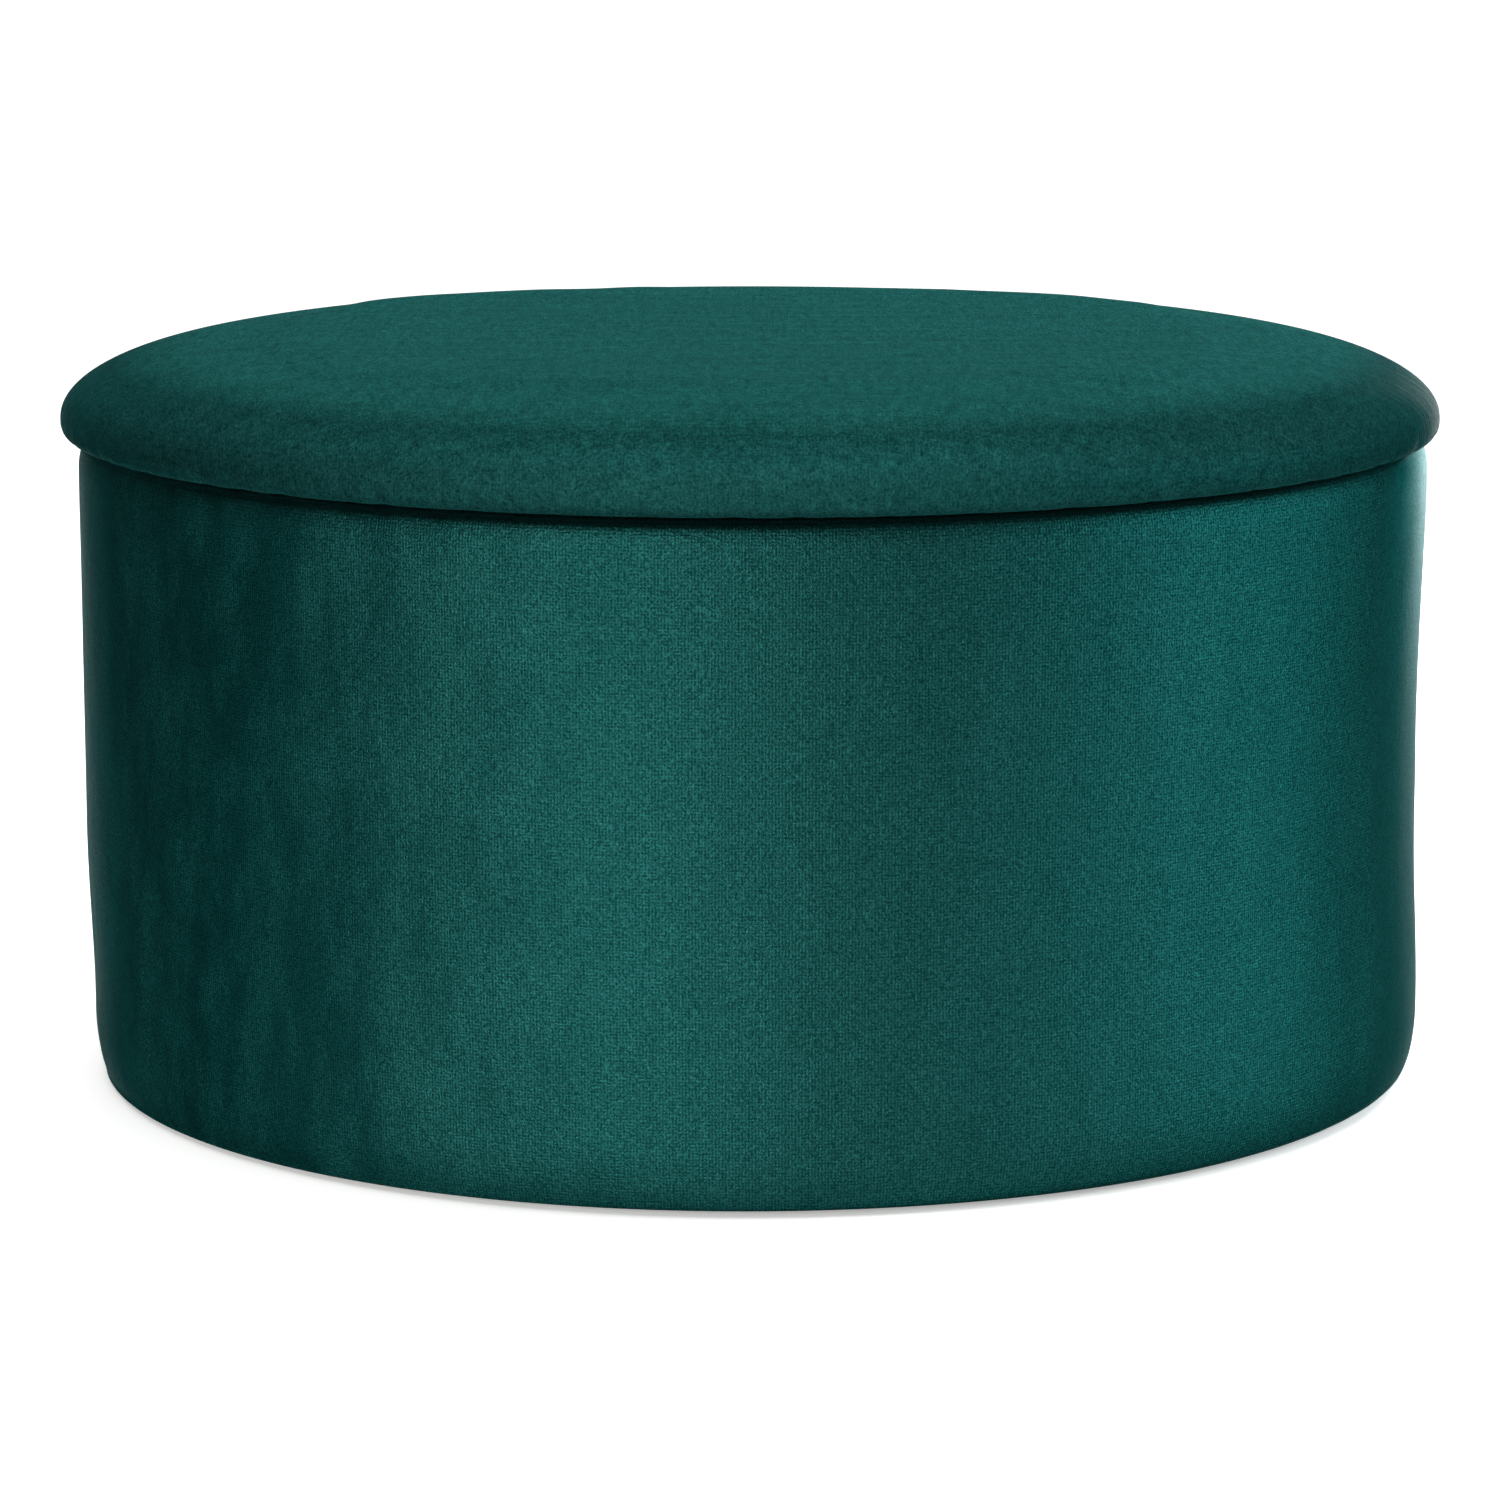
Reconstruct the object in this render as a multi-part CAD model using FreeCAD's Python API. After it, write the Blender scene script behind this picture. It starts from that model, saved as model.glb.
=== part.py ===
"""Round storage ottoman with a lift-off padded lid, in millimetres.

Frame: +Z up, origin on the floor under the centre, the front towards -Y and the sewn back seam towards +Y.
The drum is a timber cage skinned with bent hardboard, padded with thin foam and sleeved in velvet.
The lid is a padded board that drops into the drum's mouth on a locating disc.
"""

import FreeCAD
import Part

import math
import os

Vector = FreeCAD.Vector

# ---- driving dimensions ----
DRUM_R = 390.0            # velvet to velvet, outside the drum
RIM_Z = 374.0             # top of the drum's padded rim
LID_R = 400.0             # velvet, at the lid's widest
LID_TOP_Z = 430.0
LID_GAP = 0.3             # the lid's hem above the rim, so that the two bodies only just clear

# ---- fabric, foam and board thicknesses ----
VELVET = 1.5
LINING = 1.0
NONWOVEN = 0.6
DISC_FABRIC = 0.8
WALL_FOAM = 8.0
RIM_FOAM = 5.0
WADDING = 6.0
HARDBOARD = 3.0
BASE_PLY = 12.0
RING_PLY = 18.0
LID_PLY = 9.0
DISC_PLY = 9.0

# ---- plan radii, worked inwards from the velvet ----
PANEL_R = DRUM_R - VELVET - WALL_FOAM     # outside of the outer hardboard
FRAME_R = PANEL_R - HARDBOARD             # outside of the base board, the uprights and the ring
MOUTH_R = 352.0                           # inside of the velvet facing
INNER_PANEL_R = MOUTH_R + VELVET          # inside of the inner hardboard
CAGE_R = INNER_PANEL_R + HARDBOARD        # inside of the ring and the uprights
CAGE_MID_R = (CAGE_R + FRAME_R) / 2

# ---- levels, worked up from the floor ----
GLIDE_H = 4.0
HEM_Z = GLIDE_H + NONWOVEN                # underside of the velvet hem
BASE_Z = HEM_Z + VELVET                   # underside of the base board
BASE_TOP_Z = BASE_Z + BASE_PLY
CAGE_TOP_Z = RIM_Z - VELVET - RIM_FOAM    # top of the ring and of both hardboards
RING_Z = CAGE_TOP_Z - RING_PLY
FLOOR_Z = BASE_TOP_Z + HARDBOARD
FACING_Z = 332.0                          # where the velvet facing is sewn to the lining

# ---- velvet sleeve ----
FOOT_ROUND = (9.5, 35.0)                  # how far in and how far up the bottom edge is rounded
SHOULDER_ROUND = (8.0, 18.0)              # how far in and how far down the rim's outer edge is rounded
MOUTH_ROUND = (6.5, 6.5)
HEM_R = 355.0                             # the sleeve's raw edge under the base
DUST_COVER_R = 374.0

# ---- cage ----
UPRIGHTS = 8
UPRIGHT_W = 30.0
UPRIGHT_PLAY = 0.3                        # so that the flat upright clears the curved hardboard
RING_SEGMENTS = 4
SLIT = 1.0                                # where the two ends of a bent sheet meet
PANEL_FOOT = 5.0                          # the outer sheet stops short of the rounded bottom edge
SEAM_DEG = 90.0                           # the back, where every sheet and sleeve is joined

# ---- lid ----
LID_SEAT_Z = RIM_Z + LID_GAP
LID_BOARD_Z = LID_SEAT_Z + VELVET
LID_BOARD_R = 390.0
LID_BOARD_TOP_Z = LID_BOARD_Z + LID_PLY
LID_EDGE_ROUND = (113.0, 44.0)            # how far in and how far down the soft upper edge is rounded
LID_FOOT_ROUND = (10.0, 8.0)
LID_HEM_R = 335.0
DISC_R = 345.0
DISC_TOP_Z = LID_SEAT_Z - DISC_FABRIC
DISC_Z = DISC_TOP_Z - DISC_PLY
DISC_HEM_R = 315.0

# ---- fixings ----
SCREW_R = 2.0
SCREW_HEAD_R = 4.0
SCREW_HEAD_H = 2.6
BASE_SCREW_L = 35.0
RING_SCREW_L = 40.0
DISC_SCREW_L = 19.0
DISC_SCREWS = 6
DISC_STAPLES = 30
DISC_STAPLE_R = 325.0
DISC_SCREW_AT_R = 250.0
PAIR_OFFSET = 8.0                         # screws and pins either side of an upright's middle
PIN_R = 0.7
PIN_HEAD_R = 1.6
PIN_HEAD_H = 0.6
PIN_L = 12.0
PIN_LEVELS = (60.0, 190.0, 320.0)
STAPLE_W = 10.0
STAPLE_WIRE = 0.7
STAPLE_L = 8.0
HEM_STAPLES = 56
HEM_STAPLE_R = 362.0
DUST_STAPLES = 24
DUST_STAPLE_R = 370.0
LID_STAPLES = 60
LID_STAPLE_R = 340.0

# ---- glides ----
GLIDES = 6
GLIDE_AT_R = 345.0
GLIDE_R = 14.0
GLIDE_EDGE = 1.2
GLIDE_NAIL_R = 1.5
GLIDE_NAIL_L = 14.0

MARGIN = 1.0                              # how far a cutter runs past what it cuts


# ---- helpers ----

def outline(*corners):
    """Closed edges through (radius, height) corners; a corner with two more numbers is rounded by a quarter
    ellipse that starts that far before it and ends that far after it."""
    count = len(corners)
    points = [Vector(c[0], 0, c[1]) for c in corners]
    starts = []
    ends = []
    for i, c in enumerate(corners):
        before = (points[i - 1] - points[i]).normalize()
        after = (points[(i + 1) % count] - points[i]).normalize()
        cut_in, cut_out = c[2:] if len(c) > 2 else (0, 0)
        starts.append(points[i] + before * cut_in)
        ends.append(points[i] + after * cut_out)
    edges = []
    for i in range(count):
        if (ends[i] - starts[i]).Length > 1e-6:
            curve = Part.BezierCurve()
            curve.setPoles([starts[i], points[i], ends[i]])
            curve.setWeight(2, math.sqrt(0.5))
            edges.append(curve.toShape())
        following = starts[(i + 1) % count]
        if (following - ends[i]).Length > 1e-6:
            edges.append(Part.LineSegment(ends[i], following).toShape())
    return edges


def turned(*corners):
    """The solid of revolution about Z of that outline."""
    face = Part.Face(Part.Wire(outline(*corners)))
    return face.revolve(Vector(0, 0, 0), Vector(0, 0, 1), 360)


def ring(inner, outer, low, high):
    """A flat ring, or a disc where inner is 0."""
    return turned((inner, low), (outer, low), (outer, high), (inner, high))


def spun(shape, degrees):
    """A copy of shape turned about Z."""
    copy = shape.copy()
    copy.rotate(Vector(0, 0, 0), Vector(0, 0, 1), degrees)
    return copy


def around(shape, count, first=0.0):
    """count copies of shape, evenly spaced about Z."""
    return [spun(shape, first + i * 360.0 / count) for i in range(count)]


def slit_at_seam(shape):
    """The two ends of a bent sheet, which meet at the back."""
    box = Part.makeBox(2 * DRUM_R, SLIT, RIM_Z + 2 * MARGIN, Vector(0, -SLIT / 2, -MARGIN))
    return shape.cut(spun(box, SEAM_DEG))


def save(node, shape):
    """Writes one node, from its solids alone."""
    solids = shape.Solids if hasattr(shape, "Solids") else [s for part in shape for s in part.Solids]
    body = solids[0] if len(solids) == 1 else Part.makeCompound(solids)
    if not all(s.isValid() and s.Volume > 0 for s in solids):
        raise ValueError(node + " is not a valid solid")
    body.exportStep("parts/" + node + ".step")
    print(node, len(solids), round(sum(s.Volume for s in solids) / 1000.0, 2), "cm3")


# ---- fixings ----

def screw(length):
    """A countersunk wood screw, its head's flat face at the origin and its shank up +Z."""
    return turned((0, 0), (SCREW_HEAD_R, 0), (SCREW_R, SCREW_HEAD_H), (SCREW_R, length - 2 * SCREW_R),
                  (0, length))


def pin():
    """A panel pin, its head's flat face at the origin and its shank up +Z."""
    return turned((0, 0), (PIN_HEAD_R, 0), (PIN_HEAD_R, PIN_HEAD_H), (PIN_R, PIN_HEAD_H),
                  (PIN_R, PIN_L - 2 * PIN_R), (0, PIN_L))


def staple():
    """A wire staple, its crown's outer face on z = 0, along Y, and its legs up +Z."""
    half = STAPLE_W / 2
    crown = Part.makeBox(STAPLE_WIRE, STAPLE_W, STAPLE_WIRE, Vector(-STAPLE_WIRE / 2, -half, 0))
    leg = Part.makeBox(STAPLE_WIRE, STAPLE_WIRE, STAPLE_L, Vector(-STAPLE_WIRE / 2, -half, 0))
    other = leg.copy()
    other.translate(Vector(0, STAPLE_W - STAPLE_WIRE, 0))
    return crown.fuse([leg, other]).removeSplitter()


def placed(shape, radius, tangent, height, direction=1):
    """A copy of a fixing at (radius, tangent, height), pointing up, or down where direction is -1."""
    copy = shape.copy()
    if direction < 0:
        copy.rotate(Vector(0, 0, 0), Vector(1, 0, 0), 180)
    copy.translate(Vector(radius, tangent, height))
    return copy


def base_screws():
    """One up through the base board into the foot of each upright."""
    return around(placed(screw(BASE_SCREW_L), CAGE_MID_R, 0, BASE_Z), UPRIGHTS)


def ring_screws():
    """Down through the ring: a pair where two segments meet, and one screw elsewhere."""
    made = []
    for i in range(UPRIGHTS):
        meets = i % (UPRIGHTS // RING_SEGMENTS) == 0
        for tangent in ((-PAIR_OFFSET, PAIR_OFFSET) if meets else (0.0,)):
            one = placed(screw(RING_SCREW_L), CAGE_MID_R, tangent, CAGE_TOP_Z, -1)
            made.append(spun(one, i * 360.0 / UPRIGHTS))
    return made


def panel_pins(radius, inwards):
    """Pins through a bent sheet into both halves of every upright, their heads just under its face."""
    lying = pin()
    lying.rotate(Vector(0, 0, 0), Vector(0, 1, 0), -90 if inwards else 90)
    curved_away = PAIR_OFFSET + (PIN_HEAD_R if inwards else -PIN_HEAD_R)
    flush = math.sqrt(radius ** 2 - curved_away ** 2)
    made = []
    for level in PIN_LEVELS:
        for tangent in (-PAIR_OFFSET, PAIR_OFFSET):
            made += around(placed(lying, flush, tangent, level), UPRIGHTS)
    return made


def disc_screws():
    """Up through the locating disc into the lid's board."""
    return around(placed(screw(DISC_SCREW_L), DISC_SCREW_AT_R, 0, DISC_Z - DISC_FABRIC), DISC_SCREWS)


# ---- drum: timber cage ----

def upright():
    """A softwood upright at angle 0, between the base board and the ring."""
    deep = math.sqrt(FRAME_R ** 2 - (UPRIGHT_W / 2) ** 2) - CAGE_R - 2 * UPRIGHT_PLAY
    corner = Vector(CAGE_R + UPRIGHT_PLAY, -UPRIGHT_W / 2, BASE_TOP_Z)
    return Part.makeBox(deep, UPRIGHT_W, RING_Z - BASE_TOP_Z, corner)


def ring_segment():
    """A quarter of the plywood ring, from the middle of one upright to the middle of another."""
    sweep = 360.0 / RING_SEGMENTS
    face = Part.Face(Part.Wire(outline((CAGE_R, RING_Z), (FRAME_R, RING_Z),
                                       (FRAME_R, CAGE_TOP_Z), (CAGE_R, CAGE_TOP_Z))))
    return face.revolve(Vector(0, 0, 0), Vector(0, 0, 1), sweep)


# ---- drum: soft parts ----

def wall_section(inset):
    """The drum wall's outside, drawn in by inset on every face, as a solid of revolution."""
    def shrunk(amounts):
        return tuple(a - inset for a in amounts)

    foot_in, foot_up = shrunk(FOOT_ROUND)
    shoulder_in, shoulder_down = shrunk(SHOULDER_ROUND)
    mouth_in, mouth_down = shrunk(MOUTH_ROUND)
    return turned(
        (MOUTH_R + inset, HEM_Z + inset),
        (DRUM_R - inset, HEM_Z + inset, foot_in, foot_up),
        (DRUM_R - inset, RIM_Z - inset, shoulder_down, shoulder_in),
        (MOUTH_R + inset, RIM_Z - inset, mouth_in, mouth_down),
    )


def side_cover():
    """The velvet sleeve: outside, rim, facing inside the mouth, and hem under the base."""
    skin = wall_section(0).cut(wall_section(VELVET))
    return skin.cut(ring(0, HEM_R, 0, FACING_Z))


def wall_foam():
    """Thin foam glued round the outer hardboard, up to the rim."""
    return wall_section(VELVET).cut(ring(0, PANEL_R, 0, RIM_Z))


def rim_foam():
    """A foam strip over the top of the cage."""
    return wall_section(VELVET).common(ring(0, PANEL_R, CAGE_TOP_Z, RIM_Z))


# ---- lid ----

def lid_section(inset, low):
    """The lid's outside above its underside, drawn in by inset, as a solid of revolution."""
    edge_in, edge_down = (a - inset for a in LID_EDGE_ROUND)
    foot_in, foot_up = (a - inset for a in LID_FOOT_ROUND)
    foot = (foot_in, foot_up) if foot_in > 0 else ()
    return turned(
        (0, low),
        (LID_R - inset, low) + foot,
        (LID_R - inset, LID_TOP_Z - inset, edge_down, edge_in),
        (0, LID_TOP_Z - inset),
    )


def lid_cover():
    """One round of velvet, drawn over the edge and stapled under the board."""
    skin = lid_section(0, LID_SEAT_Z).cut(lid_section(VELVET, LID_BOARD_Z))
    return skin.cut(ring(0, LID_HEM_R, LID_SEAT_Z - MARGIN, LID_BOARD_Z + MARGIN))


def lid_foam():
    """The foam slab on the board, its upper edge rounded."""
    inset = VELVET + WADDING
    edge_in, edge_down = (a - inset for a in LID_EDGE_ROUND)
    return turned(
        (0, LID_BOARD_TOP_Z),
        (LID_R - inset, LID_BOARD_TOP_Z),
        (LID_R - inset, LID_TOP_Z - inset, edge_down, edge_in),
        (0, LID_TOP_Z - inset),
    )


def disc_cover():
    """Nonwoven drawn over the locating disc's face and edge, and stapled behind it."""
    outer = ring(0, DISC_R + DISC_FABRIC, DISC_Z - DISC_FABRIC, LID_SEAT_Z)
    inside = ring(0, DISC_R, DISC_Z, DISC_TOP_Z)
    return outer.cut([inside, ring(0, DISC_HEM_R, DISC_Z, LID_SEAT_Z + MARGIN)])


def glide():
    """A nail-on plastic glide at angle 0, its foot edge eased."""
    body = Part.makeCylinder(GLIDE_R, GLIDE_H, Vector(GLIDE_AT_R, 0, 0))
    foot = [e for e in body.Edges if e.BoundBox.ZMax < GLIDE_H / 2 and e.BoundBox.XLength > GLIDE_R]
    return body.makeChamfer(GLIDE_EDGE, foot)


# ---- build ----

def build_drum():
    """Every node of the drum, which stands still."""
    foot_screws, top_screws = base_screws(), ring_screws()
    outer_pins = panel_pins(PANEL_R, True)
    inner_pins = panel_pins(INNER_PANEL_R, False)
    glides = around(glide(), GLIDES, 180.0 / GLIDES)
    nail = Part.makeCylinder(GLIDE_NAIL_R, GLIDE_NAIL_L, Vector(GLIDE_AT_R, 0, GLIDE_H / 2))
    nails = around(nail, GLIDES, 180.0 / GLIDES)

    save("base_board", ring(0, FRAME_R, BASE_Z, BASE_TOP_Z).cut(foot_screws + nails))
    for i, post in enumerate(around(upright(), UPRIGHTS)):
        save("upright_%d" % (i + 1), post.cut(foot_screws + top_screws + outer_pins + inner_pins))
    for i, segment in enumerate(around(ring_segment(), RING_SEGMENTS)):
        save("ring_segment_%d" % (i + 1), segment.cut(top_screws))
    outer_panel = ring(FRAME_R, PANEL_R, BASE_Z + PANEL_FOOT, CAGE_TOP_Z)
    save("outer_panel", slit_at_seam(outer_panel).cut(outer_pins))
    inner_panel = ring(INNER_PANEL_R, CAGE_R, BASE_TOP_Z, CAGE_TOP_Z)
    save("inner_panel", slit_at_seam(inner_panel).cut(inner_pins))

    save("wall_foam", wall_foam())
    save("rim_foam", rim_foam())
    save("side_cover", side_cover())
    save("wall_lining", ring(INNER_PANEL_R - LINING, INNER_PANEL_R, BASE_TOP_Z, FACING_Z))
    floor_r = INNER_PANEL_R - LINING
    save("floor_board", ring(0, floor_r, BASE_TOP_Z, FLOOR_Z))
    save("floor_lining", ring(0, floor_r, FLOOR_Z, FLOOR_Z + LINING))
    save("dust_cover", ring(0, DUST_COVER_R, GLIDE_H, HEM_Z).cut(nails))

    for i, one in enumerate(glides):
        save("glide_%d" % (i + 1), one.cut(nails))
    save("glide_nails", nails)
    save("base_screws", foot_screws)
    save("ring_screws", top_screws)
    save("outer_panel_pins", outer_pins)
    save("inner_panel_pins", inner_pins)
    hem_staple = placed(staple(), HEM_STAPLE_R, 0, HEM_Z)
    save("hem_staples", around(hem_staple, HEM_STAPLES, 180.0 / HEM_STAPLES))
    dust_staple = placed(staple(), DUST_STAPLE_R, 0, GLIDE_H)
    save("dust_cover_staples", around(dust_staple, DUST_STAPLES, 180.0 / DUST_STAPLES))


def build_lid():
    """Every node of the lid, which lifts off."""
    screws = disc_screws()
    board = ring(0, LID_BOARD_R, LID_BOARD_Z, LID_BOARD_TOP_Z)
    foam = lid_foam()
    save("lid_board", board.cut(screws))
    save("lid_foam", foam)
    save("lid_wadding", lid_section(VELVET, LID_BOARD_Z).cut([foam, board]))
    save("lid_cover", lid_cover())
    save("locating_disc", ring(0, DISC_R, DISC_Z, DISC_TOP_Z).cut(screws))
    save("disc_cover", disc_cover().cut(screws))
    save("disc_screws", screws)
    disc_staple = placed(staple(), DISC_STAPLE_R, 0, LID_SEAT_Z, -1)
    save("disc_staples", around(disc_staple, DISC_STAPLES, 180.0 / DISC_STAPLES))
    lid_staple = placed(staple(), LID_STAPLE_R, 0, LID_SEAT_Z)
    save("lid_staples", around(lid_staple, LID_STAPLES, 180.0 / LID_STAPLES))


os.makedirs("parts", exist_ok=True)
build_drum()
build_lid()
print("store", round(2 * MOUTH_R), "across", round(DISC_Z - DISC_FABRIC - FLOOR_Z - LINING, 1), "deep")
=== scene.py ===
"""Looks of a round storage ottoman: velvet over a padded drum, and a padded velvet lid that lifts off.

Everything is in metres, in the frame's own axes: +Z up, the front towards -Y, the sewn back seam towards +Y.
"""

import math
import random

import bmesh
import bpy
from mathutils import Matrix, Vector, noise


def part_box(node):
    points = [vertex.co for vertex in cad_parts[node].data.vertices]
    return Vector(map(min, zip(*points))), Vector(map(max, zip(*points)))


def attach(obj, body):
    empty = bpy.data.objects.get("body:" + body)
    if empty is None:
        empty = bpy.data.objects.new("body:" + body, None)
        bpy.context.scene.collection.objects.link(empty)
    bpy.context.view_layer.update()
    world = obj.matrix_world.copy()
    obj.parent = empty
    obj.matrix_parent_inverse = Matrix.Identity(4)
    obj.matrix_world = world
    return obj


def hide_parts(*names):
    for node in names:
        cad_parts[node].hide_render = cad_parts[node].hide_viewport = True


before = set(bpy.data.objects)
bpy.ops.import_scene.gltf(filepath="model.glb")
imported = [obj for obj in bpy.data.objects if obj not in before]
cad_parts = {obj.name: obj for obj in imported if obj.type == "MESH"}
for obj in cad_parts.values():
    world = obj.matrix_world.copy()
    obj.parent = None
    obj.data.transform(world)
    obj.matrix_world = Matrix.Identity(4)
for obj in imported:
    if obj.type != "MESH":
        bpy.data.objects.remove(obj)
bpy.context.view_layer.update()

MM = 0.001


# ---- sizes, read from the frame ----

def low(node):
    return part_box(node)[0]


def high(node):
    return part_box(node)[1]


DRUM_R = high("side_cover").x
HEM_Z = low("side_cover").z
RIM_Z = high("side_cover").z
PANEL_R = high("outer_panel").x
LINING_R = high("wall_lining").x              # back of the lining, which is the inner hardboard's face
LINING_TOP_Z = high("wall_lining").z
BASE_Z = low("base_board").z
BASE_TOP_Z = high("base_board").z
CAGE_TOP_Z = high("ring_segment_1").z
FLOOR_Z = high("floor_board").z

LID_R = high("lid_cover").x
LID_SEAT_Z = low("lid_cover").z
LID_TOP_Z = high("lid_cover").z
LID_BOARD_Z = low("lid_board").z
LID_BOARD_TOP_Z = high("lid_board").z
DISC_R = high("disc_cover").x
DISC_Z = low("disc_cover").z
DISC_HEM_R = DISC_R - 31 * MM                 # raw edge of the nonwoven behind the disc

# ---- cloth ----
VELVET = 1.4 * MM                             # thickness of the sleeve's velvet,
LID_VELVET_THICK = 1.3 * MM                   # of the lid's,
NONWOVEN = 0.7 * MM                           # of the linings,
DUST_THICK = 0.5 * MM                         # and of the dust cover
LAYER_GAP = 0.2 * MM                          # between the sleeve's velvet and the foam under it
MOUTH_R = LINING_R - 1.5 * MM                 # face of the velvet inside the mouth
HEM_R = DRUM_R - 35 * MM                      # raw edge of the sleeve under the base
LID_HEM_R = LID_R - 65 * MM                   # raw edge of the lid's velvet under the board
SEAM = math.radians(90)                       # the back


# ---- points and curves ----

def quarter(centre, radii, start, steps):
    """Points on a quarter ellipse in (radius, height), anticlockwise from start, in degrees."""
    made = []
    for i in range(steps + 1):
        a = math.radians(start + 90.0 * i / steps)
        made.append((centre[0] + radii[0] * math.cos(a), centre[1] + radii[1] * math.sin(a)))
    return made


def line(a, b, steps):
    """Points from a towards b, without b."""
    return [(a[0] + (b[0] - a[0]) * i / steps, a[1] + (b[1] - a[1]) * i / steps) for i in range(steps)]


def smooth(x, low_edge, high_edge):
    """0 below low_edge, 1 above high_edge, eased between."""
    t = min(1.0, max(0.0, (x - low_edge) / (high_edge - low_edge)))
    return t * t * (3 - 2 * t)


def wander(angle, height, per_turn, seed):
    """Slow noise round the drum, about -1 to 1, the same at both ends of a turn."""
    p = Vector((math.cos(angle) * per_turn, math.sin(angle) * per_turn, height)) + Vector((seed, -seed, seed))
    return noise.noise(p)


# ---- mesh making ----

def piece(name, verts, faces, material, body):
    """A smooth-shaded object that rides a body."""
    mesh = bpy.data.meshes.new(name)
    mesh.from_pydata([tuple(v) for v in verts], [], faces)
    mesh.validate()
    b = bmesh.new()
    b.from_mesh(mesh)
    bmesh.ops.recalc_face_normals(b, faces=b.faces)
    b.to_mesh(mesh)
    b.free()
    mesh.shade_smooth()
    obj = bpy.data.objects.new(name, mesh)
    bpy.context.scene.collection.objects.link(obj)
    obj.data.materials.append(material)
    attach(obj, body)
    return obj


def turn_angles(count, seam_offsets=()):
    """Angles round a full turn, with extra ones on both sides of the back seam."""
    angles = {round(2 * math.pi * i / count, 6) for i in range(count)}
    for off in seam_offsets:
        angles.add(round(SEAM + off, 6))
        angles.add(round(SEAM - off, 6))
    return sorted(angles)


def turned(name, profile, angles, material, body, shape):
    """A closed profile of (radius, height) points turned round Z, each point then moved by shape."""
    verts = []
    for angle in angles:
        for point in profile:
            r, z = shape(angle, *point)
            verts.append((r * math.cos(angle), r * math.sin(angle), z))
    rows, columns = len(profile), len(angles)
    faces = []
    for i in range(columns):
        for j in range(rows):
            a, b = i * rows + j, i * rows + (j + 1) % rows
            c, d = (i + 1) % columns * rows + (j + 1) % rows, (i + 1) % columns * rows + j
            faces.append((a, d, c, b))
    return piece(name, verts, faces, material, body)


def shrunk(profile, amount):
    """An open profile moved sideways by amount, to its left."""
    made = []
    for i, p in enumerate(profile):
        a = Vector(profile[max(0, i - 1)])
        b = Vector(profile[min(len(profile) - 1, i + 1)])
        along = (b - a).normalized()
        made.append((p[0] - along.y * amount, p[1] + along.x * amount))
    return made


# ---- materials ----

class Recipe:
    """One procedural material, built up node by node."""

    def __init__(self, name, **shader_values):
        self.material = bpy.data.materials.new(name)
        self.material.use_nodes = True
        self.tree = self.material.node_tree
        self.shader = self.tree.nodes["Principled BSDF"]
        for key, value in shader_values.items():
            self.shader.inputs[key.replace("_", " ")].default_value = value

    def node(self, kind, inputs=None, **settings):
        made = self.tree.nodes.new("ShaderNode" + kind)
        for key, value in settings.items():
            setattr(made, key, value)
        for key, value in (inputs or {}).items():
            if isinstance(value, bpy.types.NodeSocket):
                self.tree.links.new(value, made.inputs[key])
            else:
                made.inputs[key].default_value = value
        return made

    def place(self):
        return self.node("TexCoord").outputs["Object"]

    def scaled(self, vector, x, y, z):
        return self.node("VectorMath", {0: vector, 1: (x, y, z)}, operation="MULTIPLY").outputs[0]

    def math(self, operation, a, b=0.0):
        return self.node("Math", {0: a, 1: b}, operation=operation).outputs[0]

    def noise(self, vector, scale, detail=3.0, roughness=0.5):
        inputs = {"Vector": vector, "Scale": scale, "Detail": detail, "Roughness": roughness}
        return self.node("TexNoise", inputs).outputs["Fac"]

    def cells(self, vector, scale):
        return self.node("TexVoronoi", {"Vector": vector, "Scale": scale}).outputs["Distance"]

    def stretch(self, value, from_low, from_high, to_low=0.0, to_high=1.0):
        """The value taken from one range to another, and held at its ends."""
        inputs = {0: value, 1: from_low, 2: from_high, 3: to_low, 4: to_high}
        return self.node("MapRange", inputs).outputs[0]

    def mix(self, factor, a, b):
        """A colour from a to b, or past b where factor is over 1."""
        made = self.node("Mix", {"Factor": factor}, data_type="RGBA", clamp_factor=False)
        for index, value in ((6, a), (7, b)):
            if isinstance(value, bpy.types.NodeSocket):
                self.tree.links.new(value, made.inputs[index])
            else:
                made.inputs[index].default_value = (*value, 1.0)
        return made.outputs[2]

    def mix_value(self, factor, a, b):
        """A value from socket a to socket b."""
        made = self.node("Mix", {"Factor": factor}, data_type="FLOAT")
        self.tree.links.new(a, made.inputs[2])
        self.tree.links.new(b, made.inputs[3])
        return made.outputs[0]

    def colour(self, socket):
        self.tree.links.new(socket, self.shader.inputs["Base Color"])

    def roughness(self, socket):
        self.tree.links.new(socket, self.shader.inputs["Roughness"])

    def bump(self, *layers):
        """Layers are (height socket, distance in metres), coarse to fine."""
        normal = None
        for height, distance in layers:
            inputs = {"Height": height, "Distance": distance, "Strength": 1.0}
            if normal:
                inputs["Normal"] = normal
            normal = self.node("Bump", inputs).outputs["Normal"]
        self.tree.links.new(normal, self.shader.inputs["Normal"])


VELVET_DARK = (0.0010, 0.016, 0.016)
VELVET_LIGHT = (0.0046, 0.042, 0.039)
VELVET_TIP = (0.018, 0.105, 0.098)
BLACK = (0.0, 0.0, 0.0)
RIB = 1.75 * MM                # pitch of the velvet's ground weave
DOT = 1.6 * MM                 # pitch of the pressed dots in nonwoven
PLY = 3.0 * MM                 # two plies of plywood, one light and one dark


def velvet(name, gloss, edge_tint, sheen, sheen_tint):
    """Velvet has no white highlight: its gloss and its sheen are both teal."""
    return Recipe(name, Metallic=gloss, Specular_IOR_Level=0.0, Specular_Tint=edge_tint, Sheen_Weight=sheen,
                  Sheen_Roughness=0.3, Sheen_Tint=sheen_tint)


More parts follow.
